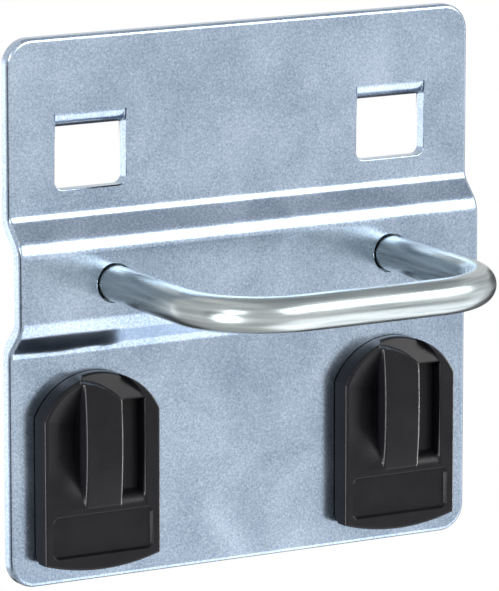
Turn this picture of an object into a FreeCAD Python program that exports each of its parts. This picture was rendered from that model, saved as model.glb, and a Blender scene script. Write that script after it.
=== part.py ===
import FreeCAD
import Part
import Sketcher
import math
import os

# Pegboard tool hook for sheet panels with square holes: a folded sheet plate with two tabs,
# a riveted wire loop and two moulded turn locks. Millimetres, +Z up, the front faces -Y.
# The origin lies midway between the tabs on the line where they rest in the panel's holes,
# and the plane y = 0 is the panel's face, which the back of the plate lies on.

SIZES = {
    # Folded plate: sheet thickness, outline and the spacing of the panel's holes
    "sheet": 1.5,
    "plate_width": 58.2,
    "plate_height": 60.5,
    "plate_top": 10.1,
    "corner_radius": 3.0,
    "hole_pitch": 38.0,
    # Window that each tab is cut from, and the tab: back through the panel, then up behind it
    "window_width": 8.8,
    "window_drop": 6.65,
    "window_corner": 1.0,
    "tab_bend": 0.5,
    "tab_rise": 5.5,
    "tab_corner": 1.2,
    "panel_gap": 2.2,
    # Pressed rib across the plate
    "rib_drop": 16.9,
    "rib_face": 9.2,
    "rib_slope": 2.8,
    "rib_proud": 2.7,
    "rib_bend": 1.6,
    # Wire loop, riveted over in the hollow behind the rib
    "wire_size": 4.0,
    "wire_spacing": 35.0,
    "wire_reach": 24.4,
    "wire_bend": 8.8,
    "wire_gap": 0.15,
    "rivet_size": 6.2,
    "rivet_thick": 1.3,
    # Turn lock: place of its axis, outline and thickness
    "lock_drop": 34.7,
    "lock_width": 14.3,
    "lock_arch": 7.85,
    "lock_tail": 12.9,
    "lock_bow": 1.1,
    "lock_rim": 2.4,
    "lock_gap": 0.15,
    "lock_edge": 0.25,
    "bevel_rise": 1.1,
    "bevel_depth": 1.7,
    # Grip rib of the lock, crowned along its length
    "grip_width": 4.7,
    "grip_top": 7.2,
    "grip_bottom": 7.0,
    "grip_crown": 3.0,
    "grip_end": 2.6,
    "grip_round": 0.45,
    # Finger slot on the right of the grip, with a ramp at its lower end
    "slot_outer": 5.15,
    "slot_top": 4.6,
    "slot_bottom": 7.3,
    "slot_floor": 0.9,
    "slot_ramp": 0.8,
    # Dished finger room on the left of the grip, deep at the top and running out below
    "dish_rim": 0.4,
    "dish_low": 6.9,
    "dish_floor": 0.7,
    "dish_flat": 3.2,
    # Sloping brow above the finger slot, open at the arch, its curved sides bowed by a share of their chords
    "brow_level": 2.5,
    "brow_slope": 25.0,
    "brow_exit": 2.9,
    "brow_outer_bow": 0.06,
    "brow_top_bow": 0.2,
    "brow_inner_bow": 0.1,
    # Bare panel sunk into the tail
    "label_width": 12.2,
    "label_top": 7.7,
    "label_bottom": 12.2,
    "label_depth": 0.45,
    "label_corner": 0.6,
    # Neck that turns in the plate, and the lip and cam behind it
    "neck_size": 5.0,
    "neck_fit": 0.08,
    "lip_reach": 3.1,
    "cam_width": 3.2,
    "cam_reach": 4.8,
    "cam_gap": 2.0,
    "cam_thick": 2.0,
    "key_gap": 0.25,
}

# Derived lengths, as expressions on the sheet
BEND_OUTER = "(Sizes.tab_bend + Sizes.sheet)"
HALF_PITCH = "Sizes.hole_pitch / 2"
RIB_FRONT = "(Sizes.rib_proud + Sizes.sheet)"
RIB_SHIFT = "(Sizes.sheet * tan(atan(Sizes.rib_proud / Sizes.rib_slope) / 2))"
RIB_HALF_FACE = "(Sizes.rib_face / 2)"
RIB_HALF_FOOT = "(Sizes.rib_face / 2 + Sizes.rib_slope)"
LOOP_FRONT = f"({RIB_FRONT} + Sizes.wire_reach)"
LOOP_HALF = "(Sizes.wire_spacing / 2)"
WIRE_END = "(Sizes.rib_proud - Sizes.rivet_thick)"
LOCK_BACK = "(Sizes.sheet + Sizes.lock_gap)"
LOCK_FRONT = f"({LOCK_BACK} + Sizes.lock_rim)"
LOCK_HALF = "(Sizes.lock_width / 2)"
GRIP_HALF = "(Sizes.grip_width / 2)"
DISH_ARCH = "(Sizes.lock_arch - Sizes.dish_rim)"
DISH_SIDE = "(Sizes.lock_width / 2 - Sizes.dish_rim)"
CAM_HALF = "(Sizes.cam_width / 2)"

TOUCH = 1e-4

doc = FreeCAD.newDocument("PegboardHook")
sizes = doc.addObject("Spreadsheet::Sheet", "Sizes")
for row, (alias, value) in enumerate(SIZES.items(), start=1):
    sizes.set(f"A{row}", alias)
    sizes.set(f"B{row}", str(value))
    sizes.setAlias(f"B{row}", alias)
doc.recompute()


def number(text):
    """Value of an expression on the sheet."""
    value = sizes.evalExpression(text)
    return float(getattr(value, "Value", value))


def chord(radius, offset):
    """Expression for half the chord of a circle at a distance from its centre."""
    return f"sqrt(({radius})^2 - ({offset})^2)"


def bow_radius(half_chord, height):
    """Expression for the radius of an arc from its half chord and its height."""
    return f"((({half_chord})^2 + ({height})^2) / (2 * ({height})))"


def bow_centre(first, last, share, left):
    """Centre of an arc between two corners that is bowed by a share of its chord."""
    pull = f"((0.25 - {share}^2) / (2 * {share}))"
    side = "" if left else "-"
    x = f"({first[0]} + {last[0]}) / 2 - ({last[1]} - ({first[1]})) * {side}{pull}"
    y = f"({first[1]} + {last[1]}) / 2 + ({last[0]} - ({first[0]})) * {side}{pull}"
    return x, y


def new_body(label):
    """Empty body whose label names the sub-part's file."""
    body = doc.addObject("PartDesign::Body", label)
    body.Label = label
    return body


def origin_plane(body, role):
    """One of the body's own origin planes."""
    return next(item for item in body.Origin.OriginFeatures if item.Role == role)


def new_sketch(body, name, role, offset="0"):
    """Sketch on an origin plane, moved along the plane's normal."""
    sketch = body.newObject("Sketcher::SketchObject", name)
    sketch.AttachmentSupport = [(origin_plane(body, role), "")]
    sketch.MapMode = "FlatFace"
    sketch.setExpression("AttachmentOffset.Base.z", offset)
    return sketch


def bind(sketch, constraint, text):
    """Add a constraint whose value follows an expression on the sheet."""
    index = sketch.addConstraint(constraint)
    sketch.setExpression(f"Constraints[{index}]", text)


def pin(sketch, edge, point, spot):
    """Hold a point of the sketch at two expressions."""
    for kind, text in zip(("DistanceX", "DistanceY"), spot):
        bind(sketch, Sketcher.Constraint(kind, -1, 1, edge, point, number(text)), text)


def draw(sketch, corners, arcs=None, closed=True):
    """Outline through corners given as expressions.

    arcs maps an edge's number to its centre and to whether it turns left from its first corner.
    """
    arcs = arcs or {}
    spots = [FreeCAD.Vector(number(x), number(y), 0) for x, y in corners]
    edges = len(spots) if closed else len(spots) - 1
    heads = []
    for i in range(edges):
        first = spots[i]
        last = spots[(i + 1) % len(spots)]
        if i not in arcs:
            sketch.addGeometry(Part.LineSegment(first, last))
            heads.append((1, 2))
            continue
        centre_text, left = arcs[i]
        centre = FreeCAD.Vector(number(centre_text[0]), number(centre_text[1]), 0)
        low, high = (first, last) if left else (last, first)
        circle = Part.Circle(centre, FreeCAD.Vector(0, 0, 1), (first - centre).Length)
        angles = [math.atan2(spot.y - centre.y, spot.x - centre.x) for spot in (low, high)]
        if angles[1] <= angles[0]:
            angles[1] += 2 * math.pi
        sketch.addGeometry(Part.ArcOfCircle(circle, *angles))
        heads.append((1, 2) if left else (2, 1))
    for i in range(edges):
        pin(sketch, i, heads[i][0], corners[i])
        if closed or i < edges - 1:
            following = (i + 1) % edges
            joined = (i, heads[i][1], following, heads[following][0])
            sketch.addConstraint(Sketcher.Constraint("Coincident", *joined))
    if not closed:
        pin(sketch, edges - 1, heads[-1][1], corners[-1])
    for i, (centre_text, _) in arcs.items():
        across = spots[(i + 1) % len(spots)] - spots[i]
        axis = 1 if abs(across.x) > abs(across.y) else 0
        kind = ("DistanceX", "DistanceY")[axis]
        text = centre_text[axis]
        bind(sketch, Sketcher.Constraint(kind, -1, 1, i, 3, number(text)), text)
    doc.recompute()


def draw_circle(sketch, centre, diameter):
    """Circle at a centre and with a diameter given as expressions."""
    middle = FreeCAD.Vector(number(centre[0]), number(centre[1]), 0)
    sketch.addGeometry(Part.Circle(middle, FreeCAD.Vector(0, 0, 1), number(diameter) / 2))
    pin(sketch, 0, 3, centre)
    bind(sketch, Sketcher.Constraint("Diameter", 0, number(diameter)), diameter)
    doc.recompute()


def draw_round_box(sketch, left, right, low, high, radius):
    """Rectangle with four rounded corners, its sides given as expressions."""
    inner_left, inner_right = f"({left} + {radius})", f"({right} - {radius})"
    inner_low, inner_high = f"({low} + {radius})", f"({high} - {radius})"
    draw(sketch, [
        (inner_left, low), (inner_right, low), (right, inner_low), (right, inner_high),
        (inner_right, high), (inner_left, high), (left, inner_high), (left, inner_low),
    ], {
        1: ((inner_right, inner_low), True), 3: ((inner_right, inner_high), True),
        5: ((inner_left, inner_high), True), 7: ((inner_left, inner_low), True),
    })


def extrude(body, kind, name, sketch, length, sides="One side", reverse=False):
    """Pad or Pocket of a sketch by an expression."""
    feature = body.newObject(f"PartDesign::{kind}", name)
    feature.Profile = sketch
    feature.SideType = sides
    feature.Reversed = reverse
    feature.setExpression("Length", length)
    doc.recompute()
    return feature


def cut_through(body, name, sketch):
    """Pocket of a sketch right through the body, both ways."""
    feature = body.newObject("PartDesign::Pocket", name)
    feature.Profile = sketch
    feature.SideType = "Symmetric"
    feature.Type = "ThroughAll"
    doc.recompute()
    return feature


def edges_where(feature, test):
    """Names of the feature's edges whose bounding box passes a test."""
    return [f"Edge{i}" for i, edge in enumerate(feature.Shape.Edges, start=1) if test(edge.BoundBox)]


def fillet(body, name, feature, names, radius):
    """Round some edges of the last feature by an expression."""
    rounded = body.newObject("PartDesign::Fillet", name)
    rounded.Base = (feature, names)
    rounded.setExpression("Radius", radius)
    doc.recompute()
    return rounded


def near(value, text):
    """Whether a coordinate equals an expression."""
    return abs(value - number(text)) < TOUCH


def mirror(body, name, features):
    """Repeat features on the other side of the plane x = 0."""
    mirrored = body.newObject("PartDesign::Mirrored", name)
    mirrored.Originals = features
    mirrored.MirrorPlane = (origin_plane(body, "YZ_Plane"), [""])
    body.Tip = mirrored
    doc.recompute()
    return mirrored


def plate_blank(body):
    """Flat sheet with rounded corners."""
    half = "Sizes.plate_width / 2"
    top = "Sizes.plate_top"
    bottom = "Sizes.plate_top - Sizes.plate_height"
    outline = new_sketch(body, "plate_outline", "XZ_Plane")
    draw(outline, [(f"-{half}", bottom), (half, bottom), (half, top), (f"-{half}", top)])
    flat = extrude(body, "Pad", "plate_flat", outline, "Sizes.sheet")
    corners = edges_where(flat, lambda box: box.XLength < TOUCH and box.ZLength < TOUCH)
    return fillet(body, "plate_corners", flat, corners, "Sizes.corner_radius")


def plate_rib(body):
    """Rib pressed forward across the sheet, with rounded bends of even thickness."""
    middle = "-Sizes.rib_drop"
    foot_up, foot_low = f"{middle} + {RIB_HALF_FOOT}", f"{middle} - {RIB_HALF_FOOT}"
    face_up, face_low = f"{middle} + {RIB_HALF_FACE}", f"{middle} - {RIB_HALF_FACE}"
    front = new_sketch(body, "rib_front", "YZ_Plane")
    draw(front, [
        ("0", foot_up), ("-Sizes.sheet", foot_up), (f"-{RIB_FRONT}", face_up),
        (f"-{RIB_FRONT}", face_low), ("-Sizes.sheet", foot_low), ("0", foot_low),
    ])
    extrude(body, "Pad", "rib_press", front, "Sizes.plate_width", sides="Symmetric")
    hollow = new_sketch(body, "rib_hollow", "YZ_Plane")
    inner_up, inner_low = f"{face_up} - {RIB_SHIFT}", f"{face_low} + {RIB_SHIFT}"
    mouth_up, mouth_low = f"{foot_up} - {RIB_SHIFT}", f"{foot_low} + {RIB_SHIFT}"
    draw(hollow, [
        ("0", mouth_up), ("-Sizes.rib_proud", inner_up), ("-Sizes.rib_proud", inner_low), ("0", mouth_low),
    ])
    pressed = cut_through(body, "rib_hollow_cut", hollow)

    def bends(places):
        def on_bend(box):
            return box.YLength < TOUCH and box.ZLength < TOUCH and any(
                near(box.YMin, y) and near(box.ZMin, z) for y, z in places)
        return on_bend

    inside = [("-Sizes.sheet", foot_up), ("-Sizes.sheet", foot_low),
              ("-Sizes.rib_proud", inner_up), ("-Sizes.rib_proud", inner_low)]
    outside = [(f"-{RIB_FRONT}", face_up), (f"-{RIB_FRONT}", face_low), ("0", mouth_up), ("0", mouth_low)]
    soft = fillet(body, "rib_bends_inside", pressed, edges_where(pressed, bends(inside)), "Sizes.rib_bend")
    outer = "Sizes.rib_bend + Sizes.sheet"
    return fillet(body, "rib_bends_outside", soft, edges_where(soft, bends(outside)), outer)


def plate_window(body):
    """Window with rounded lower corners, open up to where the tab bends away."""
    left = f"({HALF_PITCH} - Sizes.window_width / 2)"
    right = f"({HALF_PITCH} + Sizes.window_width / 2)"
    low, radius = "-Sizes.window_drop", "Sizes.window_corner"
    side = f"{low} + {radius}"
    outline = new_sketch(body, "window_outline", "XZ_Plane")
    draw(outline, [
        (left, BEND_OUTER), (left, side), (f"{left} + {radius}", low),
        (f"{right} - {radius}", low), (right, side), (right, BEND_OUTER),
    ], {1: ((f"{left} + {radius}", side), True), 3: ((f"{right} - {radius}", side), True)})
    return cut_through(body, "window", outline)


def plate_tab(body):
    """Tab of sheet: bent back at the window's top, then up behind the panel."""
    first = "Sizes.tab_bend"
    second = "Sizes.panel_gap - Sizes.tab_bend"
    outer = "Sizes.panel_gap + Sizes.sheet"
    profile = new_sketch(body, "tab_profile", "YZ_Plane", HALF_PITCH)
    draw(profile, [
        ("0", BEND_OUTER), ("-Sizes.sheet", BEND_OUTER), (first, "0"), (second, "0"), (outer, BEND_OUTER),
        (outer, "Sizes.tab_rise"), ("Sizes.panel_gap", "Sizes.tab_rise"), ("Sizes.panel_gap", BEND_OUTER),
        (second, "Sizes.sheet"), (first, "Sizes.sheet"),
    ], {
        1: ((first, BEND_OUTER), True), 3: ((second, BEND_OUTER), True),
        7: ((second, BEND_OUTER), False), 9: ((first, BEND_OUTER), False),
    })
    return extrude(body, "Pad", "tab", profile, "Sizes.window_width", sides="Symmetric")


def wire_hole(body):
    """Hole in the rib for one leg of the wire loop."""
    outline = new_sketch(body, "wire_hole_outline", "XZ_Plane")
    draw_circle(outline, (LOOP_HALF, "-Sizes.rib_drop"), "Sizes.wire_size + 2 * Sizes.wire_gap")
    return cut_through(body, "wire_hole", outline)


def lock_bore(body):
    """Round bore for the lock's neck and, above it, the way in for its cam."""
    round_outline = new_sketch(body, "bore_outline", "XZ_Plane")
    draw_circle(round_outline, (HALF_PITCH, "-Sizes.lock_drop"), "Sizes.neck_size + 2 * Sizes.neck_fit")
    bore = cut_through(body, "bore", round_outline)
    half = f"({CAM_HALF} + Sizes.key_gap)"
    top = "-Sizes.lock_drop + Sizes.cam_reach + Sizes.key_gap"
    key_outline = new_sketch(body, "key_outline", "XZ_Plane")
    draw(key_outline, [
        (f"{HALF_PITCH} - {half}", "-Sizes.lock_drop"), (f"{HALF_PITCH} + {half}", "-Sizes.lock_drop"),
        (f"{HALF_PITCH} + {half}", top), (f"{HALF_PITCH} - {half}", top),
    ])
    return [bore, cut_through(body, "key_way", key_outline)]


def make_plate():
    """Folded plate with its rib, windows, tabs, wire holes and lock bores."""
    body = new_body("hook_plate")
    plate_blank(body)
    plate_rib(body)
    one_side = [plate_window(body), plate_tab(body), wire_hole(body), *lock_bore(body)]
    both = mirror(body, "other_side", one_side)

    def on_tip(box):
        return box.XLength < TOUCH and box.ZLength < TOUCH and near(box.ZMin, "Sizes.tab_rise")

    fillet(body, "tab_tips", both, edges_where(both, on_tip), "Sizes.tab_corner")
    return body


def make_loop():
    """Wire bent to a U, with its ends riveted over behind the rib."""
    body = new_body("wire_loop")
    level = "-Sizes.rib_drop"
    turn, straight = f"-{LOOP_FRONT} + Sizes.wire_bend", f"{LOOP_HALF} - Sizes.wire_bend"
    path = new_sketch(body, "wire_path", "XY_Plane", level)
    draw(path, [
        (f"-{LOOP_HALF}", f"-{WIRE_END}"), (f"-{LOOP_HALF}", turn), (f"-({straight})", f"-{LOOP_FRONT}"),
        (straight, f"-{LOOP_FRONT}"), (LOOP_HALF, turn), (LOOP_HALF, f"-{WIRE_END}"),
    ], {1: ((f"-({straight})", turn), True), 3: ((straight, turn), True)}, closed=False)
    section = new_sketch(body, "wire_section", "XZ_Plane", WIRE_END)
    draw_circle(section, (f"-{LOOP_HALF}", level), "Sizes.wire_size")
    wire = body.newObject("PartDesign::AdditivePipe", "wire")
    wire.Profile = section
    wire.Spine = (path, [])
    doc.recompute()
    head_outline = new_sketch(body, "rivet_outline", "XZ_Plane", WIRE_END)
    draw_circle(head_outline, (LOOP_HALF, level), "Sizes.rivet_size")
    head = extrude(body, "Pad", "rivet", head_outline, "Sizes.rivet_thick")
    mirror(body, "rivet_pair", [head])
    return body


def lock_base(body):
    """Arched body of the lock, with soft front edges and a bevelled tail."""
    shoulder = chord("Sizes.lock_arch", LOCK_HALF)
    bow_centre = f"-Sizes.lock_tail - Sizes.lock_bow + {bow_radius(LOCK_HALF, 'Sizes.lock_bow')}"
    outline = new_sketch(body, "lock_outline", "XZ_Plane", LOCK_BACK)
    draw(outline, [
        (LOCK_HALF, shoulder), (f"-{LOCK_HALF}", shoulder),
        (f"-{LOCK_HALF}", "-Sizes.lock_tail"), (LOCK_HALF, "-Sizes.lock_tail"),
    ], {0: (("0", "0"), True), 2: (("0", bow_centre), True)})
    block = extrude(body, "Pad", "lock_block", outline, "Sizes.lock_rim")

    def rear_bow(box):
        on_tail = box.ZMax < number("-Sizes.lock_tail") + TOUCH
        return on_tail and box.YLength < TOUCH and near(box.YMin, f"-{LOCK_BACK}")

    bevel = body.newObject("PartDesign::Chamfer", "tail_bevel")
    bevel.Base = (block, edges_where(block, rear_bow))
    bevel.ChamferType = "Two distances"
    bevel.setExpression("Size", "Sizes.bevel_depth")
    bevel.setExpression("Size2", "Sizes.bevel_rise")
    doc.recompute()

    def front_rim(box):
        return near(box.YMin, f"-{LOCK_FRONT}") and box.YLength < TOUCH

    return fillet(body, "lock_edges", bevel, edges_where(bevel, front_rim), "Sizes.lock_edge")


def lock_grip(body):
    """Grip rib with a front that is crowned from end to end."""
    end = f"-({LOCK_BACK} + Sizes.grip_end)"
    half = "((Sizes.grip_top + Sizes.grip_bottom) / 2)"
    crown = bow_radius(half, "(Sizes.grip_crown - Sizes.grip_end)")
    centre = (f"-({LOCK_BACK} + Sizes.grip_crown) + {crown}", "(Sizes.grip_top - Sizes.grip_bottom) / 2")
    profile = new_sketch(body, "grip_profile", "YZ_Plane")
    draw(profile, [
        (f"-{LOCK_BACK}", "-Sizes.grip_bottom"), (f"-{LOCK_BACK}", "Sizes.grip_top"),
        (end, "Sizes.grip_top"), (end, "-Sizes.grip_bottom"),
    ], {2: (centre, True)})
    return extrude(body, "Pad", "grip", profile, "Sizes.grip_width", sides="Symmetric")


def lock_slot(body):
    """Finger slot beside the grip, its lower end a ramp."""
    above = f"-({LOCK_BACK} + Sizes.grip_crown)"
    floor = f"-({LOCK_BACK} + Sizes.slot_floor)"
    profile = new_sketch(body, "slot_profile", "YZ_Plane", GRIP_HALF)
    draw(profile, [
        (above, "Sizes.slot_top"), (above, "-Sizes.slot_bottom"), (f"-{LOCK_FRONT}", "-Sizes.slot_bottom"),
        (floor, "-(Sizes.slot_bottom - Sizes.slot_ramp)"), (floor, "Sizes.slot_top"),
    ])
    return extrude(body, "Pocket", "slot", profile, f"Sizes.slot_outer - {GRIP_HALF}", reverse=True)


def lock_dish(body):
    """Finger room on the other side: a pocket under the arch with a floor that rises to the front."""
    outline = new_sketch(body, "dish_outline", "XZ_Plane", LOCK_FRONT)
    draw(outline, [
        (f"-{GRIP_HALF}", chord(DISH_ARCH, GRIP_HALF)),
        (f"-{DISH_SIDE}", chord(DISH_ARCH, DISH_SIDE)),
        (f"-{DISH_SIDE}", f"-{chord('Sizes.dish_low', DISH_SIDE)}"),
        (f"-{GRIP_HALF}", f"-{chord('Sizes.dish_low', GRIP_HALF)}"),
    ], {0: (("0", "0"), True), 2: (("0", "0"), True)})
    extrude(body, "Pocket", "dish", outline, "Sizes.lock_rim - Sizes.dish_floor")
    low = "-Sizes.dish_low"
    floor = f"-({LOCK_BACK} + Sizes.dish_floor)"
    ramp = new_sketch(body, "dish_ramp_profile", "YZ_Plane", f"-{GRIP_HALF}")
    draw(ramp, [(floor, "Sizes.dish_flat"), (f"-{LOCK_FRONT}", low), (floor, low)])
    return extrude(body, "Pad", "dish_ramp", ramp, f"{DISH_SIDE} - {GRIP_HALF}", reverse=True)


def lock_brow(body):
    """Sloping surface from the grip and the top of the finger slot out to the arch."""
    stretch = "cos(Sizes.brow_slope)"
    corner = (GRIP_HALF, f"Sizes.slot_top / {stretch}")
    outer = ("Sizes.slot_outer", f"Sizes.slot_top / {stretch}")
    leave = ("Sizes.brow_exit", f"{chord('Sizes.lock_arch', 'Sizes.brow_exit')} / {stretch}")
    peak = (f"-{GRIP_HALF}", f"{chord(DISH_ARCH, GRIP_HALF)} / {stretch}")
    tilt = "-Sizes.brow_slope"
    level = f"{LOCK_BACK} + Sizes.brow_level + Sizes.slot_top * tan(Sizes.brow_slope)"
    outline = new_sketch(body, "brow_outline", "XZ_Plane", level)
    outline.AttachmentOffset = FreeCAD.Placement(
        FreeCAD.Vector(0, 0, number(level)), FreeCAD.Rotation(FreeCAD.Vector(1, 0, 0), number(tilt)))
    outline.setExpression("AttachmentOffset.Rotation.Angle", tilt)
    draw(outline, [corner, outer, leave, peak], {
        1: (bow_centre(outer, leave, "Sizes.brow_outer_bow", True), True),
        2: (bow_centre(leave, peak, "Sizes.brow_top_bow", True), True),
        3: (bow_centre(peak, corner, "Sizes.brow_inner_bow", False), False),
    })
    return extrude(body, "Pocket", "brow", outline, "Sizes.grip_crown", reverse=True)


def lock_grip_edge(body):
    """Rounded front edge of the grip beside the finger slot."""
    cut = body.Tip

    def on_edge(box):
        return near(box.XMin, GRIP_HALF) and box.XLength < TOUCH and near(
            box.YMin, f"-({LOCK_BACK} + Sizes.grip_crown)")

    return fillet(body, "grip_edge", cut, edges_where(cut, on_edge), "Sizes.grip_round")


def lock_label(body):
    """Bare sunk panel in the tail."""
    half = "Sizes.label_width / 2"
    outline = new_sketch(body, "label_outline", "XZ_Plane", LOCK_FRONT)
    draw_round_box(outline, f"-{half}", half, "-Sizes.label_bottom", "-Sizes.label_top", "Sizes.label_corner")
    return extrude(body, "Pocket", "label", outline, "Sizes.label_depth")


def lock_tongue(body, name, plane, reach, length):
    """Tongue on the neck with a round end, pointing down."""
    heel = f"-({reach} - {CAM_HALF})"
    outline = new_sketch(body, f"{name}_outline", "XZ_Plane", f"-{plane}")
    draw(outline, [
        (f"-{CAM_HALF}", "0"), (f"-{CAM_HALF}", heel), (CAM_HALF, heel), (CAM_HALF, "0"),
    ], {1: (("0", heel), True)})
    return extrude(body, "Pad", name, outline, length, reverse=True)


def make_lock(label, side):
    """Moulded quarter-turn lock, on its axis to one side of the plate's middle."""
    body = new_body(label)
    lock_base(body)
    lock_grip(body)
    lock_slot(body)
    lock_dish(body)
    lock_brow(body)
    lock_grip_edge(body)
    lock_label(body)
    neck_outline = new_sketch(body, "neck_outline", "XZ_Plane", LOCK_BACK)
    draw_circle(neck_outline, ("0", "0"), "Sizes.neck_size")
    extrude(body, "Pad", "neck", neck_outline, f"{LOCK_BACK} + Sizes.cam_gap + Sizes.cam_thick", reverse=True)
    lock_tongue(body, "lip", "Sizes.lock_gap", "Sizes.lip_reach", "Sizes.cam_gap - Sizes.lock_gap")
    lock_tongue(body, "cam", "Sizes.cam_gap", "Sizes.cam_reach", "Sizes.cam_thick")
    body.setExpression("Placement.Base.x", f"{side} * {HALF_PITCH}")
    body.setExpression("Placement.Base.z", "-Sizes.lock_drop")
    doc.recompute()
    return body


bodies = [make_plate(), make_loop(), make_lock("turn_lock_left", -1), make_lock("turn_lock_right", 1)]
doc.recompute()

failed = [item.Name for item in doc.Objects if "Invalid" in item.State or "Error" in item.State]
if failed:
    raise RuntimeError("failed objects: " + ", ".join(failed))
for body in bodies:
    if body.Shape.isNull() or not body.Shape.isValid() or len(body.Shape.Solids) != 1:
        raise RuntimeError("bad shape: " + body.Label)

os.makedirs("parts", exist_ok=True)
for body in bodies:
    body.Shape.exportStep(f"parts/{body.Label}.step")
    box = body.Shape.BoundBox
    print(body.Label, round(body.Shape.Volume, 2), [round(v, 2) for v in (
        box.XMin, box.XMax, box.YMin, box.YMax, box.ZMin, box.ZMax)])
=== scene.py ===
"""Looks of the pegboard tool hook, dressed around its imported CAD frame.

The folded zinc sheet is the CAD solid with its edges broken and the front of its outline rolled over.
Each black turn lock is a relief over an arched outline, and the wire loop is a round section carried
along its bent path. Places are in the CAD frame: +Z up, -Y to the front, the panel's face at y = 0.
Lengths are in metres, apart from those of a lock, which are in millimetres about its axis.
"""

import logging
import math
from dataclasses import dataclass, field
from enum import Enum
from typing import Dict, List, Optional, Sequence, Tuple

import bmesh
import bpy
import numpy as np
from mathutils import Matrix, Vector

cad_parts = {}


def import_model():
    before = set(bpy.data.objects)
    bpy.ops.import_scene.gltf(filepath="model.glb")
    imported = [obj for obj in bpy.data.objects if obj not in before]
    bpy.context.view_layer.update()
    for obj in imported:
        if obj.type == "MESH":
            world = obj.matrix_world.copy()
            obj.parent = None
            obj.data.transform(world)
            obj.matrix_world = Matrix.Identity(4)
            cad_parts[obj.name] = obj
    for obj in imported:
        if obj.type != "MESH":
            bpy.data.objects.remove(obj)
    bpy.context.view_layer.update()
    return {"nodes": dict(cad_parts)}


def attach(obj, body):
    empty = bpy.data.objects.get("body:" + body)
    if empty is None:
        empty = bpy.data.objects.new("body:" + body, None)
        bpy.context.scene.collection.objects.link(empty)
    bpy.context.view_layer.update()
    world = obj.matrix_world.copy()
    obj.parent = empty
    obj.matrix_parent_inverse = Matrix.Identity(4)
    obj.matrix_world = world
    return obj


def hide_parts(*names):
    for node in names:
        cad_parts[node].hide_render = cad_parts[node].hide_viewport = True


LOG = logging.getLogger("pegboard_hook")

MM = 0.001
PHOTO_WIDTH_PX = 499

# The locks' axes lie this many millimetres to the left and right of the middle.
LOCK_OFFSET = 19.0

# Points nearer than the first are joined, edges shorter than the second are dropped, and edges that turn
# by more than the third are shaded hard.
WELD_GAP = 1e-7
SHORTEST_EDGE = 1e-8
HARD_EDGE = math.radians(50.0)

# Most of a noise mask lies between these two.
MASK_LOW = 0.3
MASK_HIGH = 0.7

Colour = Tuple[float, float, float]
Place = Tuple[float, float, float]

BLACK: Colour = (0.0, 0.0, 0.0)
WHITE: Colour = (1.0, 1.0, 1.0)
UPWARDS: Place = (0.0, 0.0, 1.0)


class Body(Enum):
    """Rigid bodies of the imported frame."""

    HOOK = "hook"
    LOCK_LEFT = "lock_left"
    LOCK_RIGHT = "lock_right"


class Slot(Enum):
    """Material slots, after which the materials are named."""

    SHEET = "zinc_sheet"
    WIRE = "zinc_wire"
    MOULDING = "black_moulding"


def rgba(colour: Colour) -> Tuple[float, float, float, float]:
    """Opaque colour for a socket."""
    return (*colour, 1.0)


def add_node(
    tree: bpy.types.NodeTree, kind: str, values: Optional[Dict[str, object]] = None, **settings: object
) -> bpy.types.Node:
    """Add a shader node.

    Args:
        tree: node tree that takes the node.
        kind: node type.
        values: values of its input sockets by name.
        settings: properties of the node.

    Returns:
        The new node.
    """
    node = tree.nodes.new(kind)
    for name, value in settings.items():
        setattr(node, name, value)
    for name, value in (values or {}).items():
        node.inputs[name].default_value = value
    return node


def new_group(name: str, inputs: Dict[str, float], outputs: Dict[str, str]) -> bpy.types.NodeTree:
    """Start a shader node group with float inputs, a Vector input and named outputs.

    Args:
        name: name of the group.
        inputs: names and defaults of its float inputs.
        outputs: names and socket types of its outputs.

    Returns:
        The group, with nodes called Inputs and Outputs.
    """
    group = bpy.data.node_groups.new(name, "ShaderNodeTree")
    group.interface.new_socket("Vector", in_out="INPUT", socket_type="NodeSocketVector")
    for label, default in inputs.items():
        socket = group.interface.new_socket(label, in_out="INPUT", socket_type="NodeSocketFloat")
        socket.default_value = default
    for label, kind in outputs.items():
        group.interface.new_socket(label, in_out="OUTPUT", socket_type=kind)
    add_node(group, "NodeGroupInput", name="Inputs")
    add_node(group, "NodeGroupOutput", name="Outputs")
    return group


def grain_group() -> bpy.types.NodeTree:
    """Fine grain over broad clouds, for plated metal and for moulded plastic.

    Returns:
        A group that puts out Grain and Cloud from 0 to 1.
    """
    group = new_group(
        "plating_grain",
        {"Grain Scale": 1500.0, "Cloud Scale": 120.0},
        {"Grain": "NodeSocketFloat", "Cloud": "NodeSocketFloat"},
    )
    source, sink = group.nodes["Inputs"], group.nodes["Outputs"]
    fine = add_node(group, "ShaderNodeTexNoise", {"Detail": 5.0, "Roughness": 0.62})
    broad = add_node(group, "ShaderNodeTexNoise", {"Detail": 3.0, "Roughness": 0.55, "Distortion": 0.4})
    flakes = add_node(group, "ShaderNodeTexVoronoi", {"Randomness": 1.0}, feature="F1")
    mixed = add_node(group, "ShaderNodeMix", {"Factor": 0.3}, data_type="FLOAT")
    for texture, label in ((fine, "Grain Scale"), (broad, "Cloud Scale"), (flakes, "Grain Scale")):
        group.links.new(source.outputs["Vector"], texture.inputs["Vector"])
        group.links.new(source.outputs[label], texture.inputs["Scale"])
    group.links.new(fine.outputs["Fac"], mixed.inputs["A"])
    group.links.new(flakes.outputs["Distance"], mixed.inputs["B"])
    group.links.new(mixed.outputs["Result"], sink.inputs["Grain"])
    group.links.new(broad.outputs["Fac"], sink.inputs["Cloud"])
    return group


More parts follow.
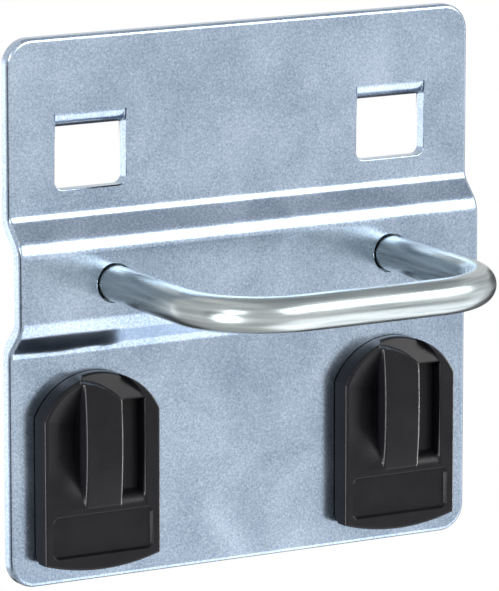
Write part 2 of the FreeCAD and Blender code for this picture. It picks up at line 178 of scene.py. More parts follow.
def ramp_node(
    tree: bpy.types.NodeTree, source: bpy.types.NodeSocket, stops: Sequence[Tuple[float, Colour]]
) -> bpy.types.NodeSocket:
    """Colour ramp on a mask.

    Args:
        tree: node tree that takes the ramp.
        source: mask from 0 to 1.
        stops: positions and colours of the ramp's stops.

    Returns:
        The ramp's colour output.
    """
    ramp = add_node(tree, "ShaderNodeValToRGB")
    while len(ramp.color_ramp.elements) < len(stops):
        ramp.color_ramp.elements.new(1.0)
    for element, (place, colour) in zip(ramp.color_ramp.elements, stops):
        element.position = place
        element.color = rgba(colour)
    tree.links.new(source, ramp.inputs["Fac"])
    return ramp.outputs["Color"]


def span_node(
    tree: bpy.types.NodeTree, source: bpy.types.NodeSocket, low: float, high: float
) -> bpy.types.NodeSocket:
    """Carry the usual range of a mask over to a range of values.

    Args:
        tree: node tree that takes the node.
        source: mask.
        low: value at the mask's dark side.
        high: value at the mask's bright side.

    Returns:
        The mapped value.
    """
    span = add_node(tree, "ShaderNodeMapRange", {
        "From Min": MASK_LOW, "From Max": MASK_HIGH, "To Min": low, "To Max": high})
    tree.links.new(source, span.inputs["Value"])
    return span.outputs["Result"]


@dataclass(frozen=True)
class Finish:
    """Surface finish with grain in its colour, roughness and relief."""

    slot: Slot
    dark: Colour
    light: Colour
    roughness: Tuple[float, float]
    metallic: float
    grain_scale: float
    cloud_scale: float
    bump: float
    uses_uv: bool = False
    uv_stretch: Tuple[float, float, float] = (1.0, 1.0, 1.0)
    specular: float = 0.5
    cloud_share: float = 0.35
    dark_stop: float = 0.3
    light_stop: float = 0.62
    bump_depth: float = 0.02 * MM

    def material(self, grain: bpy.types.NodeTree) -> bpy.types.Material:
        """Build the finish as a material.

        Args:
            grain: shared grain group.

        Returns:
            The material, named for its slot.
        """
        material = bpy.data.materials.new(self.slot.value)
        material.use_nodes = True
        tree = material.node_tree
        shader = tree.nodes["Principled BSDF"]
        shader.inputs["Metallic"].default_value = self.metallic
        shader.inputs["Specular IOR Level"].default_value = self.specular
        place = add_node(tree, "ShaderNodeTexCoord")
        mapping = add_node(tree, "ShaderNodeMapping", {"Scale": self.uv_stretch})
        tree.links.new(place.outputs["UV" if self.uses_uv else "Object"], mapping.inputs["Vector"])
        texture = add_node(tree, "ShaderNodeGroup", node_tree=grain)
        texture.inputs["Grain Scale"].default_value = self.grain_scale
        texture.inputs["Cloud Scale"].default_value = self.cloud_scale
        tree.links.new(mapping.outputs["Vector"], texture.inputs["Vector"])
        blend = add_node(tree, "ShaderNodeMix", {"Factor": self.cloud_share}, data_type="FLOAT")
        tree.links.new(texture.outputs["Grain"], blend.inputs["A"])
        tree.links.new(texture.outputs["Cloud"], blend.inputs["B"])
        stops = ((self.dark_stop, self.dark), (self.light_stop, self.light))
        colour = ramp_node(tree, blend.outputs["Result"], stops)
        tree.links.new(colour, shader.inputs["Base Color"])
        rough = span_node(tree, texture.outputs["Cloud"], *self.roughness)
        tree.links.new(rough, shader.inputs["Roughness"])
        relief = add_node(tree, "ShaderNodeBump", {"Strength": self.bump, "Distance": self.bump_depth})
        tree.links.new(texture.outputs["Grain"], relief.inputs["Height"])
        tree.links.new(relief.outputs["Normal"], shader.inputs["Normal"])
        return material


ZINC_SHEET = Finish(
    slot=Slot.SHEET, dark=(0.18, 0.255, 0.35), light=(0.47, 0.555, 0.67), roughness=(0.19, 0.27),
    metallic=1.0, grain_scale=4200.0, cloud_scale=90.0, bump=0.25)
ZINC_WIRE = Finish(
    slot=Slot.WIRE, dark=(0.21, 0.25, 0.26), light=(0.44, 0.48, 0.48), roughness=(0.22, 0.32),
    metallic=1.0, grain_scale=2.4, cloud_scale=0.5, bump=0.12, uses_uv=True, uv_stretch=(0.06, 1.0, 1.0))
BLACK_MOULDING = Finish(
    slot=Slot.MOULDING, dark=(0.003, 0.003, 0.004), light=(0.006, 0.006, 0.008), roughness=(0.28, 0.38),
    metallic=0.0, grain_scale=4200.0, cloud_scale=260.0, bump=0.3, specular=0.17)


def grid_mesh(name: str, points: np.ndarray) -> bpy.types.Object:
    """Mesh of a grid of points, u along its rows and v round its columns, with a UV map in millimetres.

    The last column joins the first. On the map, u is the length along the middles of the rows, and v is
    the way round the middle row, taken as a circle.

    Args:
        name: name of the piece.
        points: array of rows by columns by 3.

    Returns:
        The piece, linked to the scene.
    """
    rows, columns = points.shape[:2]
    half = rows // 2
    u, v = np.meshgrid(np.arange(rows - 1), np.arange(columns), indexing="ij")
    following = (v + 1) % columns
    quads = np.stack([u * columns + v, u * columns + following,
                      (u + 1) * columns + following, (u + 1) * columns + v], axis=-1).reshape(-1, 4)
    mesh = bpy.data.meshes.new(name)
    mesh.from_pydata(points.reshape(-1, 3), [], quads)
    middle = points.mean(axis=1)
    along = np.concatenate([[0.0], np.cumsum(np.linalg.norm(np.diff(middle, axis=0), axis=1))])
    radius = np.linalg.norm(points[half, 0] - middle[half])
    around = np.linspace(0.0, 1.0, columns + 1) * radius * 2 * math.pi
    corner_u = np.stack([u, u, u + 1, u + 1], axis=-1).reshape(-1)
    corner_v = np.stack([v, v + 1, v + 1, v], axis=-1).reshape(-1)
    layer = mesh.uv_layers.new(name="UVMap")
    layer.data.foreach_set("uv", (np.stack([along[corner_u], around[corner_v]], axis=-1) / MM).ravel())
    mesh.polygons.foreach_set("use_smooth", np.ones(len(mesh.polygons), dtype=bool))
    mesh.update()
    piece = bpy.data.objects.new(name, mesh)
    bpy.context.scene.collection.objects.link(piece)
    return piece


@dataclass
class FoldedPlate:
    """The CAD plate's twin with its sharp edges broken, which stands for the solid.

    The front edge of its outline is rolled over, as a press leaves it.
    """

    node: str = "hook_plate"
    edge_radius: float = 0.14 * MM
    roll_radius: float = 0.5 * MM
    rim: float = 1.0 * MM
    front_lean: float = 0.3
    sharp_angle: float = math.radians(40.0)
    segments: int = 5
    merge: float = 1e-6
    flat_angle: float = math.radians(0.4)
    finish: Finish = field(default=ZINC_SHEET)

    def rolled(self, edge: bmesh.types.BMEdge, low: Vector, high: Vector) -> bool:
        """Whether a sharp edge is on the front of the plate's outline, and so rolled over.

        Args:
            edge: the edge, between two faces.
            low: low corner of the plate's box.
            high: high corner of the plate's box.

        Returns:
            True for a front edge along the plate's rim.
        """
        leans = sorted(face.normal.y for face in edge.link_faces)
        if leans[0] > -self.front_lean or abs(leans[1]) > self.front_lean:
            return False
        middle = (edge.verts[0].co + edge.verts[1].co) / 2
        inward = min(middle.x - low.x, high.x - middle.x, middle.z - low.z, high.z - middle.z)
        return inward < self.rim

    def build(self, source: bpy.types.Object, material: bpy.types.Material) -> bpy.types.Object:
        """Copy the solid's mesh, join its loose triangles and round its edges by their weights.

        Args:
            source: the CAD node.
            material: finish of the piece.

        Returns:
            The piece, riding on its body.
        """
        name = f"{self.node}_piece"
        work = bmesh.new()
        work.from_mesh(source.data)
        bmesh.ops.remove_doubles(work, verts=work.verts, dist=self.merge)
        bmesh.ops.dissolve_limit(work, angle_limit=self.flat_angle, verts=work.verts, edges=work.edges)
        corners = np.array(source.bound_box)
        low, high = Vector(corners.min(axis=0)), Vector(corners.max(axis=0))
        weight = work.edges.layers.float.new("bevel_weight_edge")
        for edge in work.edges:
            if edge.is_manifold and edge.calc_face_angle() > self.sharp_angle:
                edge[weight] = 1.0 if self.rolled(edge, low, high) else self.edge_radius / self.roll_radius
        mesh = bpy.data.meshes.new(name)
        work.to_mesh(mesh)
        work.free()
        mesh.polygons.foreach_set("use_smooth", np.ones(len(mesh.polygons), dtype=bool))
        mesh.materials.clear()
        mesh.materials.append(material)
        piece = bpy.data.objects.new(name, mesh)
        bpy.context.scene.collection.objects.link(piece)
        bevel = piece.modifiers.new("broken_edges", "BEVEL")
        bevel.width = self.roll_radius
        bevel.segments = self.segments
        bevel.limit_method = "WEIGHT"
        bevel.use_clamp_overlap = False
        weighted = piece.modifiers.new("flat_shading", "WEIGHTED_NORMAL")
        weighted.keep_sharp = False
        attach(piece, Body.HOOK.value)
        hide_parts(self.node)
        return piece


def close_up(piece: bpy.types.Object) -> None:
    """Join a grid's poles and seams, turn its faces outwards and keep its hard edges hard.

    Args:
        piece: the piece to mend.
    """
    work = bmesh.new()
    work.from_mesh(piece.data)
    bmesh.ops.remove_doubles(work, verts=work.verts, dist=WELD_GAP)
    bmesh.ops.dissolve_degenerate(work, edges=work.edges, dist=SHORTEST_EDGE)
    bmesh.ops.recalc_face_normals(work, faces=work.faces)
    work.to_mesh(piece.data)
    work.free()
    piece.data.polygons.foreach_set("use_smooth", np.ones(len(piece.data.polygons), dtype=bool))
    piece.data.set_sharp_from_angle(angle=HARD_EDGE)


def soft_step(distance: np.ndarray, width: float) -> np.ndarray:
    """Rise from 0 to 1 across a width about distance 0, as 3t^2 - 2t^3."""
    share = np.clip(0.5 + distance / width, 0.0, 1.0)
    return share * share * (3.0 - 2.0 * share)


def round_drop(distance: np.ndarray, radius: float) -> np.ndarray:
    """Drop of a quarter round near its edge: radius - sqrt(radius^2 - (radius - distance)^2)."""
    inside = radius - np.clip(distance, 0.0, radius)
    return radius - np.sqrt(radius * radius - inside * inside)


def sag(distance: np.ndarray, radius: float) -> np.ndarray:
    """Fall of a round that starts level: radius - sqrt(radius^2 - distance^2), none before its start."""
    along = np.clip(distance, 0.0, radius)
    return radius - np.sqrt(radius * radius - along * along)


def bowed_arc(first: np.ndarray, last: np.ndarray, share: float, left: bool) -> Tuple[np.ndarray, float]:
    """Circle of an arc between two corners that is bowed by a share of its chord.

    Its centre lies off the chord's middle by (1/4 - share^2) / (2 share) of the chord.

    Args:
        first: first corner.
        last: last corner.
        share: height of the bow over the chord's length.
        left: whether the arc turns left.

    Returns:
        The circle's centre and radius.
    """
    chord = last - first
    pull = (0.25 - share * share) / (2.0 * share)
    normal = np.array([-chord[1], chord[0]]) * (1.0 if left else -1.0)
    centre = (first + last) / 2.0 + normal * pull
    return centre, float(np.linalg.norm(first - centre))


@dataclass
class TurnLock:
    """Moulded quarter-turn lock: a relief over an arched outline, with a neck, lip and cam behind it.

    Lengths are in millimetres from the lock's axis: x to the right, z up and h to the front.
    """

    node: str
    body: Body
    axis_x: float
    axis_z: float = -34.7
    back: float = -1.65
    half_width: float = 7.15
    arch: float = 7.85
    tail: float = 12.9
    bow: float = 1.1
    rim: float = 2.4
    edge: float = 0.28
    bevel_rise: float = 1.1
    bevel_front: float = 0.7
    grip_half: float = 2.35
    grip_top: float = 7.2
    grip_bottom: float = 7.0
    grip_crown: float = 3.0
    grip_fall: float = 0.4
    grip_round: float = 0.45
    grip_left_round: float = 0.3
    slot_outer: float = 5.15
    slot_top: float = 4.6
    slot_bottom: float = 7.3
    slot_ramp: float = 1.6
    slot_round: float = 0.28
    slot_floor: float = 0.9
    dish_rim: float = 0.4
    dish_low: float = 6.9
    dish_floor: float = 0.7
    dish_span: float = 4.4
    dish_fade: float = 6.0
    brow_level: float = 2.5
    brow_slope: float = math.radians(25.0)
    brow_exit: float = 2.9
    brow_blend: float = 0.15
    brow_outer_bow: float = 0.06
    brow_inner_bow: float = 0.1
    recess_half: float = 6.1
    recess_top: float = -7.7
    recess_bottom: float = -12.2
    recess_depth: float = 0.45
    recess_corner: float = 0.6
    level_low: float = -12.5
    level_high: float = 5.0
    level_margin: float = 0.45
    wall: float = 0.16
    neck_radius: float = 2.5
    cam_half: float = 1.6
    lip_reach: float = 3.1
    cam_reach: float = 4.8
    cam_gap: float = 2.0
    cam_end: float = 4.0
    lip_start: float = 0.15
    column_edge: float = 0.2
    lip_edge: float = 0.1
    step: float = 0.1
    edge_steps: int = 7
    tail_steps: int = 12
    arch_steps: int = 30
    tongue_steps: int = 33
    neck_steps: int = 72
    finish: Finish = field(default=BLACK_MOULDING)

    def across_edge(self) -> np.ndarray:
        """Distances across the rounded edge, closer together at its outer side: edge * (1 - cos a)."""
        return self.edge * (1.0 - np.cos(np.linspace(0.0, math.pi / 2, self.edge_steps)))

    def stations(self, low: float, high: float) -> np.ndarray:
        """Grid stations that are closer together within the rounded edge at both ends.

        Args:
            low: first station.
            high: last station.

        Returns:
            The stations in rising order.
        """
        edge = self.across_edge()
        inner = np.linspace(low + self.edge, high - self.edge, int((high - low) / self.step))
        return np.concatenate([low + edge[:-1], inner, (high - edge[:-1])[::-1]])

    def top_line(self, x: np.ndarray) -> np.ndarray:
        """Top of the outline: the arch's circle about the axis."""
        return np.sqrt(self.arch ** 2 - x ** 2)

    def bottom_line(self, x: np.ndarray) -> np.ndarray:
        """Bottom of the outline: a shallow bow between the tail's corners."""
        radius = (self.half_width ** 2 + self.bow ** 2) / (2.0 * self.bow)
        return -self.tail - self.bow + radius - np.sqrt(radius ** 2 - x ** 2)

    def dish(self, x: np.ndarray, z: np.ndarray, h: np.ndarray) -> np.ndarray:
        """Scoop the finger room left of the grip.

        Its depth grows evenly from the rim towards the grip, and runs out below as 3t^2 - 2t^3.

        Args:
            x: places across.
            z: places up.
            h: heights so far.

        Returns:
            Heights with the scoop.
        """
        inward = np.where(z > 0.0, self.arch - np.hypot(x, z), self.arch)
        inward = np.minimum(inward, x + self.half_width) - self.dish_rim
        across = np.clip(inward / self.dish_span, 0.0, 1.0)
        down = np.clip((z + self.dish_low) / self.dish_fade, 0.0, 1.0)
        fall = (self.rim - self.dish_floor) * across * down * down * (3.0 - 2.0 * down)
        return h - fall * soft_step(-self.grip_half - x, self.wall)

    def slot(self, x: np.ndarray, z: np.ndarray, h: np.ndarray) -> np.ndarray:
        """Sink the finger slot right of the grip.

        A quarter round breaks its outer edge, and a round ramp runs from its lower end to its level floor.

        Args:
            x: places across.
            z: places up.
            h: heights so far.

        Returns:
            Heights with the slot.
        """
        beside = np.minimum(self.slot_top - z, z + self.slot_bottom)
        drop = round_drop(x - self.slot_outer, self.slot_round) * (x > self.slot_outer)
        h = h - drop * soft_step(beside, self.wall)
        depth = np.minimum.reduce([x - self.grip_half, self.slot_outer - x, self.slot_top - z])
        floor = np.maximum(self.rim - sag(z + self.slot_bottom, self.slot_ramp), self.slot_floor)
        return h + (floor - h) * soft_step(depth, self.wall)

    def grip(self, x: np.ndarray, z: np.ndarray, h: np.ndarray) -> np.ndarray:
        """Raise the grip, rounded along both long edges.

        Its crown falls off with the square of z.

        Args:
            x: places across.
            z: places up.
            h: heights so far.

        Returns:
            Heights with the grip.
        """
        crown = self.grip_crown - self.grip_fall * (z / self.grip_top) ** 2
        crown = crown - round_drop(self.grip_half - x, self.grip_round)
        crown = crown - round_drop(self.grip_half + x, self.grip_left_round)
        inside = np.minimum.reduce([self.grip_half - np.abs(x), self.grip_top - z, z + self.grip_bottom])
        return h + (crown - h) * soft_step(inside, self.wall)

    def brow(self, x: np.ndarray, z: np.ndarray, h: np.ndarray) -> np.ndarray:
        """Cut the sloping brow from the grip's curved top and the slot's top out to the arch.

        It lies between two bowed arcs, and its plane falls evenly with z.

        Args:
            x: places across.
            z: places up.
            h: heights so far.

        Returns:
            Heights with the brow.
        """
        crest = math.sqrt((self.arch - self.dish_rim) ** 2 - self.grip_half ** 2)
        peak = np.array([-self.grip_half, crest])
        corner = np.array([self.grip_half, self.slot_top])
        outer = np.array([self.slot_outer, self.slot_top])
        leave = np.array([self.brow_exit, math.sqrt(self.arch ** 2 - self.brow_exit ** 2)])
        (in_x, in_z), in_radius = bowed_arc(peak, corner, self.brow_inner_bow, False)
        (out_x, out_z), out_radius = bowed_arc(outer, leave, self.brow_outer_bow, True)
        depth = np.minimum.reduce([
            np.hypot(x - in_x, z - in_z) - in_radius, out_radius - np.hypot(x - out_x, z - out_z),
            z - self.slot_top + self.wall, self.brow_blend * (x + self.grip_half)])
        plane = self.brow_level - math.tan(self.brow_slope) * (z - self.slot_top)
        return h + (np.minimum(h, plane) - h) * soft_step(depth, self.wall)

    def recess(self, x: np.ndarray, z: np.ndarray, h: np.ndarray) -> np.ndarray:
        """Sink the bare recess in the tail, by its distance from a box with rounded corners.

        Args:
            x: places across.
            z: places up.
            h: heights so far.

        Returns:
            Heights with the recess.
        """
        middle = (self.recess_top + self.recess_bottom) / 2.0
        off_x = np.abs(x) - self.recess_half + self.recess_corner
        off_z = np.abs(z - middle) - (self.recess_top - self.recess_bottom) / 2.0 + self.recess_corner
        beyond = np.hypot(np.maximum(off_x, 0.0), np.maximum(off_z, 0.0))
        outside = beyond + np.minimum(np.maximum(off_x, off_z), 0.0)
        return h - self.recess_depth * soft_step(self.recess_corner - outside, self.wall)

    def relief(self, x: np.ndarray, z: np.ndarray) -> np.ndarray:
        """Height of the front: the rim with each form in turn, less a quarter round along the outline.

        Args:
            x: places across.
            z: places up.

        Returns:
            Heights over the lock's back.
        """
        h = np.full(x.shape, self.rim)
        for form in (self.dish, self.slot, self.grip, self.brow, self.recess):
            h = form(x, z, h)
        margin = np.minimum(self.half_width - np.abs(x), z - self.bottom_line(x))
        margin = np.minimum(margin, np.where(z > 0.0, self.arch - np.hypot(x, z), self.arch))
        return h - round_drop(margin, self.edge)

    def levels(self, low: np.ndarray, high: np.ndarray) -> np.ndarray:
        """Rows of z for each station: level rows between two strips that follow the bow and the arch.

        Args:
            low: bottom of the outline at each station.
            high: top of the outline at each station.

        Returns:
            Heights of stations by rows.
        """
        edge = self.across_edge()[None, :]
        tail_strip = np.linspace(0.0, 1.0, self.tail_steps)[None, 1:-1]
        arch_strip = np.linspace(0.0, 1.0, self.arch_steps)[None, 1:-1]
        upper = np.minimum(self.level_high, high - self.level_margin)
        level = np.linspace(0.0, 1.0, int((self.level_high - self.level_low) / self.step))[None, :]
        inner_low, inner_high = low + self.edge, high - self.edge
        return np.concatenate([
            low + edge, inner_low + tail_strip * (self.level_low - inner_low),
            self.level_low + level * (upper - self.level_low),
            upper + arch_strip * (inner_high - upper), (high - edge)[:, ::-1]], axis=1)

    def moulding(self) -> np.ndarray:
        """Grid of the moulding: columns of z over stations of x, closed round the back.

        Returns:
            Points of x stations by profile rows by 3, in metres.
        """
        x = self.stations(-self.half_width, self.half_width)
        low, high = self.bottom_line(x)[:, None], self.top_line(x)[:, None]
        z = self.levels(low, high)
        h = self.relief(np.broadcast_to(x[:, None], z.shape), z)
        back, bevel = np.zeros_like(low), np.full_like(low, self.bevel_front)
        z = np.concatenate([low + self.bevel_rise, low, z, high], axis=1)
        h = np.concatenate([back, bevel, h, back], axis=1)
        rear = np.maximum(0.0, self.bevel_front * (1.0 - (z - low) / self.bevel_rise))
        x = np.concatenate([x[:1], x, x[-1:]])
        z = np.concatenate([z[:1], z, z[-1:]])
        h = np.concatenate([rear[:1], h, rear[-1:]])
        return self.placed(np.broadcast_to(x[:, None], z.shape), self.back - h, z)

    def placed(self, x: np.ndarray, y: np.ndarray, z: np.ndarray) -> np.ndarray:
        """Points in metres in the frame, from x and z about the axis and y in the frame."""
        return np.stack([x + self.axis_x, np.broadcast_to(y, x.shape), z + self.axis_z], axis=-1) * MM

    def column(self, x: np.ndarray, z: np.ndarray, start: float, end: float, edge: float) -> np.ndarray:
        """Grid of an outline carried along y, with a bevelled far edge and both ends closed at a point.

        Args:
            x: outline's x about the axis.
            z: outline's z about the axis.
            start: y of its near end.
            end: y of its far end.
            edge: size of the bevel.

        Returns:
            Points of five rows by columns round the outline, in metres.
        """
        middle = np.array([x.mean(), z.mean()])
        size = np.hypot(x - middle[0], z - middle[1]).max()
        grow = np.array([0.0, 1.0, 1.0, 1.0 - edge / size, 0.0])[:, None]
        y = np.array([start, start, end - edge, end, end])[:, None]
        rows_x = middle[0] + grow * (x - middle[0])[None, :]
        rows_z = middle[1] + grow * (z - middle[1])[None, :]
        return self.placed(rows_x, np.broadcast_to(y, rows_x.shape), rows_z)

    def tongue(self, reach: float) -> Tuple[np.ndarray, np.ndarray]:
        """Outline of a tongue from the axis down to a round end.

        Args:
            reach: length from the axis to the end.

        Returns:
            The outline's x and z about the axis.
        """
        angle = np.linspace(0.0, -math.pi, self.tongue_steps)
        x = np.concatenate([[-self.cam_half, self.cam_half], self.cam_half * np.cos(angle)])
        z = np.concatenate([[0.0, 0.0], self.cam_half - reach + self.cam_half * np.sin(angle)])
        return x, z

    def build(self, material: bpy.types.Material) -> List[bpy.types.Object]:
        """Make the moulding, its neck, lip and cam.

        Args:
            material: finish of the lock.

        Returns:
            The pieces, riding on the lock's body.
        """
        angle = np.linspace(0.0, 2 * math.pi, self.neck_steps, endpoint=False)
        circle = (self.neck_radius * np.cos(angle), self.neck_radius * np.sin(angle))
        lip, cam = self.tongue(self.lip_reach), self.tongue(self.cam_reach)
        grids = {
            "moulding": self.moulding(),
            "neck": self.column(*circle, self.back, self.cam_end, self.column_edge),
            "lip": self.column(*lip, self.lip_start, self.cam_gap, self.lip_edge),
            "cam": self.column(*cam, self.cam_gap, self.cam_end, self.column_edge),
        }
        pieces = []
        for label, points in grids.items():
            piece = grid_mesh(f"{self.node}_{label}", points)
            close_up(piece)
            piece.data.materials.append(material)
            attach(piece, self.body.value)
            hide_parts(self.node)
            pieces.append(piece)
        return pieces


@dataclass
class WireLoop:
    """Round wire bent to a U, with its riveted heads behind the plate's rib."""

    radius: float = 2.0 * MM
    half_spacing: float = 17.5 * MM
    level: float = -16.9 * MM
    front: float = -28.6 * MM
    back: float = -1.4 * MM
    bend: float = 8.8 * MM
    rivet_radius: float = 3.1 * MM
    rivet_thick: float = 1.3 * MM
    rivet_edge: float = 0.35 * MM
    straight_step: float = 0.5 * MM
    bend_steps: int = 48
    round_steps: int = 64
    rivet_steps: int = 8
    finish: Finish = field(default=ZINC_WIRE)

    def mirrored(self, x: np.ndarray, y: np.ndarray) -> np.ndarray:
        """Left half of the loop and its mirror image, which leaves out the middle that they share."""
        half = np.stack([x, y], axis=-1)
        return np.concatenate([half, half[-2::-1] * (-1.0, 1.0)])

    def path(self) -> Tuple[np.ndarray, np.ndarray]:
        """Centre line between the ends inside the heads: straight leg, quarter circle, bar, and back.

        Returns:
            Points on the line and the unit side vectors that point out of the loop.
        """
        turn = self.front + self.bend
        end = self.back - self.rivet_thick / 2
        leg = np.linspace(end, turn, int((end - turn) / self.straight_step) + 1)[:-1]
        angle = np.linspace(0.0, math.pi / 2, self.bend_steps)
        inner = self.half_spacing - self.bend
        bar = np.linspace(-inner, 0.0, int(inner / self.straight_step) + 1)[1:]
        x = np.concatenate([
            np.full(leg.shape, -self.half_spacing), -inner - self.bend * np.cos(angle), bar])
        y = np.concatenate([leg, turn - self.bend * np.sin(angle), np.full(bar.shape, self.front)])
        side_x = np.concatenate([np.full(leg.shape, -1.0), -np.cos(angle), np.zeros(bar.shape)])
        side_y = np.concatenate([np.zeros(leg.shape), -np.sin(angle), np.full(bar.shape, -1.0)])
        return self.mirrored(x, y), self.mirrored(side_x, side_y)

    def rod(self) -> np.ndarray:
        """Grid of the rod: centre + radius * (cos v * side + sin v * up), closed at both ends by a point.

        Returns:
            Points along the path by columns round the wire.
        """
        line, sides = self.path()
        angle = np.linspace(0.0, 2 * math.pi, self.round_steps, endpoint=False)
        reach = np.concatenate([[0.0], np.full(len(line), self.radius), [0.0]])
        line = np.concatenate([line[:1], line, line[-1:]])
        sides = np.concatenate([sides[:1], sides, sides[-1:]])
        across = reach[:, None] * np.cos(angle)[None, :]
        points = np.empty((len(line), len(angle), 3))
        points[..., :2] = line[:, None, :] + across[..., None] * sides[:, None, :]
        points[..., 2] = self.level + reach[:, None] * np.sin(angle)[None, :]
        return points

    def rivet(self, x: float) -> np.ndarray:
        """Grid of a rivet head: a disc turned about the leg's axis, with a rounded rear edge.

        Args:
            x: place of the leg.

        Returns:
            Rows of the disc's profile by columns round the axis.
        """
        angle = np.linspace(0.0, 2 * math.pi, self.round_steps, endpoint=False)
        edge = np.linspace(0.0, math.pi / 2, self.rivet_steps)
        inner = self.rivet_radius - self.rivet_edge
        radius = np.concatenate([[0.0, self.rivet_radius], inner + self.rivet_edge * np.cos(edge), [0.0]])
        face = self.back - self.rivet_thick
        rounded = self.back - self.rivet_edge * (1.0 - np.sin(edge))
        depth = np.concatenate([[face, face], rounded, [self.back]])
        points = np.empty((len(radius), len(angle), 3))
        points[..., 0] = x + radius[:, None] * np.cos(angle)[None, :]
        points[..., 1] = depth[:, None]
        points[..., 2] = self.level + radius[:, None] * np.sin(angle)[None, :]
        return points

    def build(self, material: bpy.types.Material) -> List[bpy.types.Object]:
        """Make the rod and its two rivet heads.

        Args:
            material: finish of the wire.

        Returns:
            The pieces, riding on the hook.
        """
        pieces = [grid_mesh("wire_rod", self.rod())]
        for label, x in (("left", -self.half_spacing), ("right", self.half_spacing)):
            pieces.append(grid_mesh(f"wire_rivet_{label}", self.rivet(x)))
        for piece in pieces:
            close_up(piece)
            piece.data.materials.append(material)
            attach(piece, Body.HOOK.value)
            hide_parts("wire_loop")
        return pieces


@dataclass(frozen=True)
class Lamp:
    """Rectangular soft lamp: its middle, its width and height, and its power."""

    name: str
    place: Place
    size: Tuple[float, float]
    watts: float


@dataclass(frozen=True)
class Card:
    """Flat card: its middle, its width and height, and its colour."""

    name: str
    place: Place
    size: Tuple[float, float]
    colour: Colour


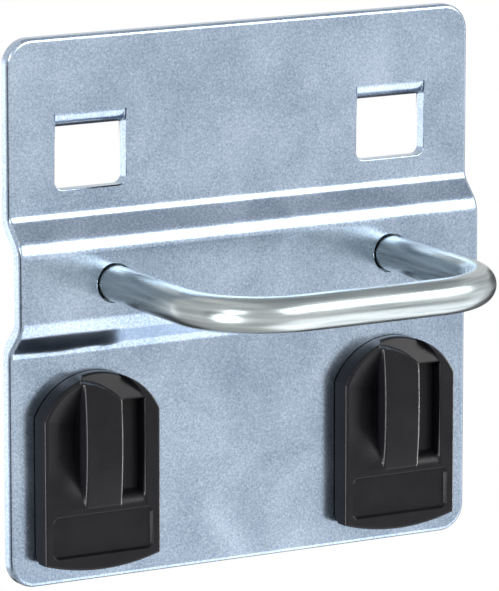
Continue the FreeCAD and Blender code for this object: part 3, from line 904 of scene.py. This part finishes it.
@dataclass
class Studio:
    """Pale floor, white surroundings, soft lamps and the cards that the part reflects."""

    ambient: float = 0.55
    middle: Place = (0.0, -0.003, -0.02)
    card_roughness: float = 0.9
    floor: Card = Card("studio_floor", (0.0, 0.0, -0.5), (1.36, 1.36), (0.82, 0.82, 0.82))
    key_lamp: Lamp = Lamp("key_lamp", (0.40, -0.60, 0.38), (0.9, 0.42), 7.0)
    fill_lamp: Lamp = Lamp("fill_lamp", (-0.7, -0.45, 0.35), (0.3, 0.3), 1.5)
    wire_lamp: Lamp = Lamp("wire_lamp", (-0.62, -0.29, -0.17), (0.12, 0.4), 7.0)
    left_edge_lamp: Lamp = Lamp("left_edge_lamp", (-0.69, -0.135, -0.17), (0.08, 0.45), 8.0)
    right_edge_lamp: Lamp = Lamp("right_edge_lamp", (0.737, -0.022, -0.17), (0.05, 0.5), 8.0)
    flags: Tuple[Card, ...] = (
        Card("overhead_card", (0.25, 0.0, 0.7), (1.4, 0.7), (0.58, 0.59, 0.61)),
        Card("left_card", (-0.85, -0.30, -0.15), (0.7, 1.0), (0.12, 0.12, 0.13)),
        Card("right_card", (0.80, -0.20, -0.22), (0.42, 0.6), (1.5, 1.5, 1.55)),
        Card("low_card", (0.155, -0.13, -0.262), (0.44, 0.30), (2.3, 2.3, 2.35)),
        Card("rear_card", (-0.42, 0.73, -0.15), (0.4, 0.5), (2.1, 2.1, 2.15)),
        Card("right_rear_card", (0.62, 0.38, -0.15), (0.4, 0.6), (0.05, 0.05, 0.06)),
        Card("rear_low_card", (0.165, 0.19, -0.24), (0.44, 0.24), (0.05, 0.045, 0.06)),
    )

    def put_up(self, card: Card, facing: Sequence[float], base: Colour, glow: float) -> bpy.types.Object:
        """Put up a card of the studio.

        Args:
            card: the card.
            facing: its normal.
            base: its colour under the lamps.
            glow: strength of its own light.

        Returns:
            The card's object, marked as stage.
        """
        width, height = card.size
        turn = Vector(facing).to_track_quat("Z", "Y").to_matrix()
        corners = [turn @ Vector((x * width / 2, y * height / 2, 0.0)) + Vector(card.place)
                   for x, y in ((-1, -1), (1, -1), (1, 1), (-1, 1))]
        mesh = bpy.data.meshes.new(card.name)
        mesh.from_pydata(corners, [], [(0, 1, 2, 3)])
        material = bpy.data.materials.new(card.name)
        material.use_nodes = True
        shader = material.node_tree.nodes["Principled BSDF"]
        shader.inputs["Base Color"].default_value = rgba(base)
        shader.inputs["Roughness"].default_value = self.card_roughness
        shader.inputs["Emission Color"].default_value = rgba(card.colour)
        shader.inputs["Emission Strength"].default_value = glow
        mesh.materials.append(material)
        piece = bpy.data.objects.new(card.name, mesh)
        bpy.context.scene.collection.objects.link(piece)
        return piece

    def put_up_flag(self, card: Card) -> None:
        """Put up an evenly lit card that only reflections see, turned to the part.

        Args:
            card: the card.
        """
        piece = self.put_up(card, -Vector(card.place), BLACK, 1.0)
        piece.visible_camera = False
        piece.visible_diffuse = False
        piece.visible_shadow = False

    def surroundings(self) -> None:
        """White world for what the camera and the metal see, and a softer one for its light."""
        world = bpy.data.worlds.new("studio_white")
        bpy.context.scene.world = world
        world.use_nodes = True
        tree = world.node_tree
        back = tree.nodes["Background"]
        back.inputs["Color"].default_value = rgba(WHITE)
        path = add_node(tree, "ShaderNodeLightPath")
        seen = add_node(tree, "ShaderNodeMath", operation="MAXIMUM")
        seen_more = add_node(tree, "ShaderNodeMath", operation="MAXIMUM")
        strength = add_node(tree, "ShaderNodeMapRange", {"To Min": self.ambient, "To Max": 1.0})
        tree.links.new(path.outputs["Is Camera Ray"], seen.inputs[0])
        tree.links.new(path.outputs["Is Glossy Ray"], seen.inputs[1])
        tree.links.new(seen.outputs["Value"], seen_more.inputs[0])
        tree.links.new(path.outputs["Is Transmission Ray"], seen_more.inputs[1])
        tree.links.new(seen_more.outputs["Value"], strength.inputs["Value"])
        tree.links.new(strength.outputs["Result"], back.inputs["Strength"])

    def light(self, lamp: Lamp, only: Sequence[bpy.types.Object] = ()) -> None:
        """Put up a lamp, turned to the part.

        Args:
            lamp: the lamp.
            only: the pieces that it lights, or none for everything.
        """
        data = bpy.data.lights.new(lamp.name, "AREA")
        data.shape = "RECTANGLE"
        data.size, data.size_y = lamp.size
        data.energy = lamp.watts
        source = bpy.data.objects.new(lamp.name, data)
        source.location = lamp.place
        ahead = Vector(self.middle) - Vector(lamp.place)
        source.rotation_euler = ahead.to_track_quat("-Z", "Y").to_euler()
        bpy.context.scene.collection.objects.link(source)
        if only:
            lit = bpy.data.collections.new(f"{lamp.name}_lights")
            for piece in only:
                lit.objects.link(piece)
            source.light_linking.receiver_collection = lit

    def build(self, locks: List[bpy.types.Object], wire: List[bpy.types.Object]) -> None:
        """Put up the whole studio.

        Args:
            locks: the black pieces, whose edges get two grazing lamps of their own.
            wire: the bright pieces, which get a lamp of their own.
        """
        self.surroundings()
        self.put_up(self.floor, UPWARDS, self.floor.colour, 0.0)
        self.light(self.key_lamp)
        self.light(self.fill_lamp)
        self.light(self.wire_lamp, wire)
        self.light(self.left_edge_lamp, locks)
        self.light(self.right_edge_lamp, locks)
        for card in self.flags:
            self.put_up_flag(card)


@dataclass
class PhotoCamera:
    """Camera at the photograph's place, from its azimuth, elevation and distance."""

    azimuth: float = math.radians(-30.0)
    elevation: float = math.radians(10.45)
    distance: float = 0.6
    pivot: Place = (0.0, -1.5 * MM, -13.0 * MM)
    aim: Place = (-0.02 * MM, -3.02 * MM, -20.22 * MM)
    focal_px: float = 5443.7
    sensor: float = 36.0
    near: float = 0.01
    far: float = 20.0

    def build(self) -> None:
        """Make the camera and hand it to the scene."""
        data = bpy.data.cameras.new("photo_camera")
        data.sensor_fit = "HORIZONTAL"
        data.sensor_width = self.sensor
        data.lens = self.focal_px / PHOTO_WIDTH_PX * self.sensor
        data.clip_start = self.near
        data.clip_end = self.far
        camera = bpy.data.objects.new("photo_camera", data)
        level = math.cos(self.elevation)
        ahead = Vector((
            -math.sin(self.azimuth) * level, math.cos(self.azimuth) * level, -math.sin(self.elevation)))
        camera.location = Vector(self.pivot) - ahead * self.distance
        camera.rotation_euler = (Vector(self.aim) - camera.location).to_track_quat("-Z", "Y").to_euler()
        bpy.context.scene.collection.objects.link(camera)
        bpy.context.scene.camera = camera


def main() -> None:
    """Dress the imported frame, light it and set the camera."""
    logging.basicConfig(level=logging.INFO)
    bpy.context.scene.view_settings.view_transform = "Standard"
    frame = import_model()
    grain = grain_group()
    sheet, wire, moulding = (finish.material(grain) for finish in (ZINC_SHEET, ZINC_WIRE, BLACK_MOULDING))
    plate = FoldedPlate()
    pieces = [plate.build(frame["nodes"][plate.node], sheet)]
    loop = WireLoop().build(wire)
    locks = TurnLock("turn_lock_left", Body.LOCK_LEFT, -LOCK_OFFSET).build(moulding)
    locks += TurnLock("turn_lock_right", Body.LOCK_RIGHT, LOCK_OFFSET).build(moulding)
    for piece in pieces + loop + locks:
        LOG.info("%s: %d faces", piece.name, len(piece.data.polygons))
    Studio().build(locks, loop)
    PhotoCamera().build()


if __name__ == "__main__":
    main()
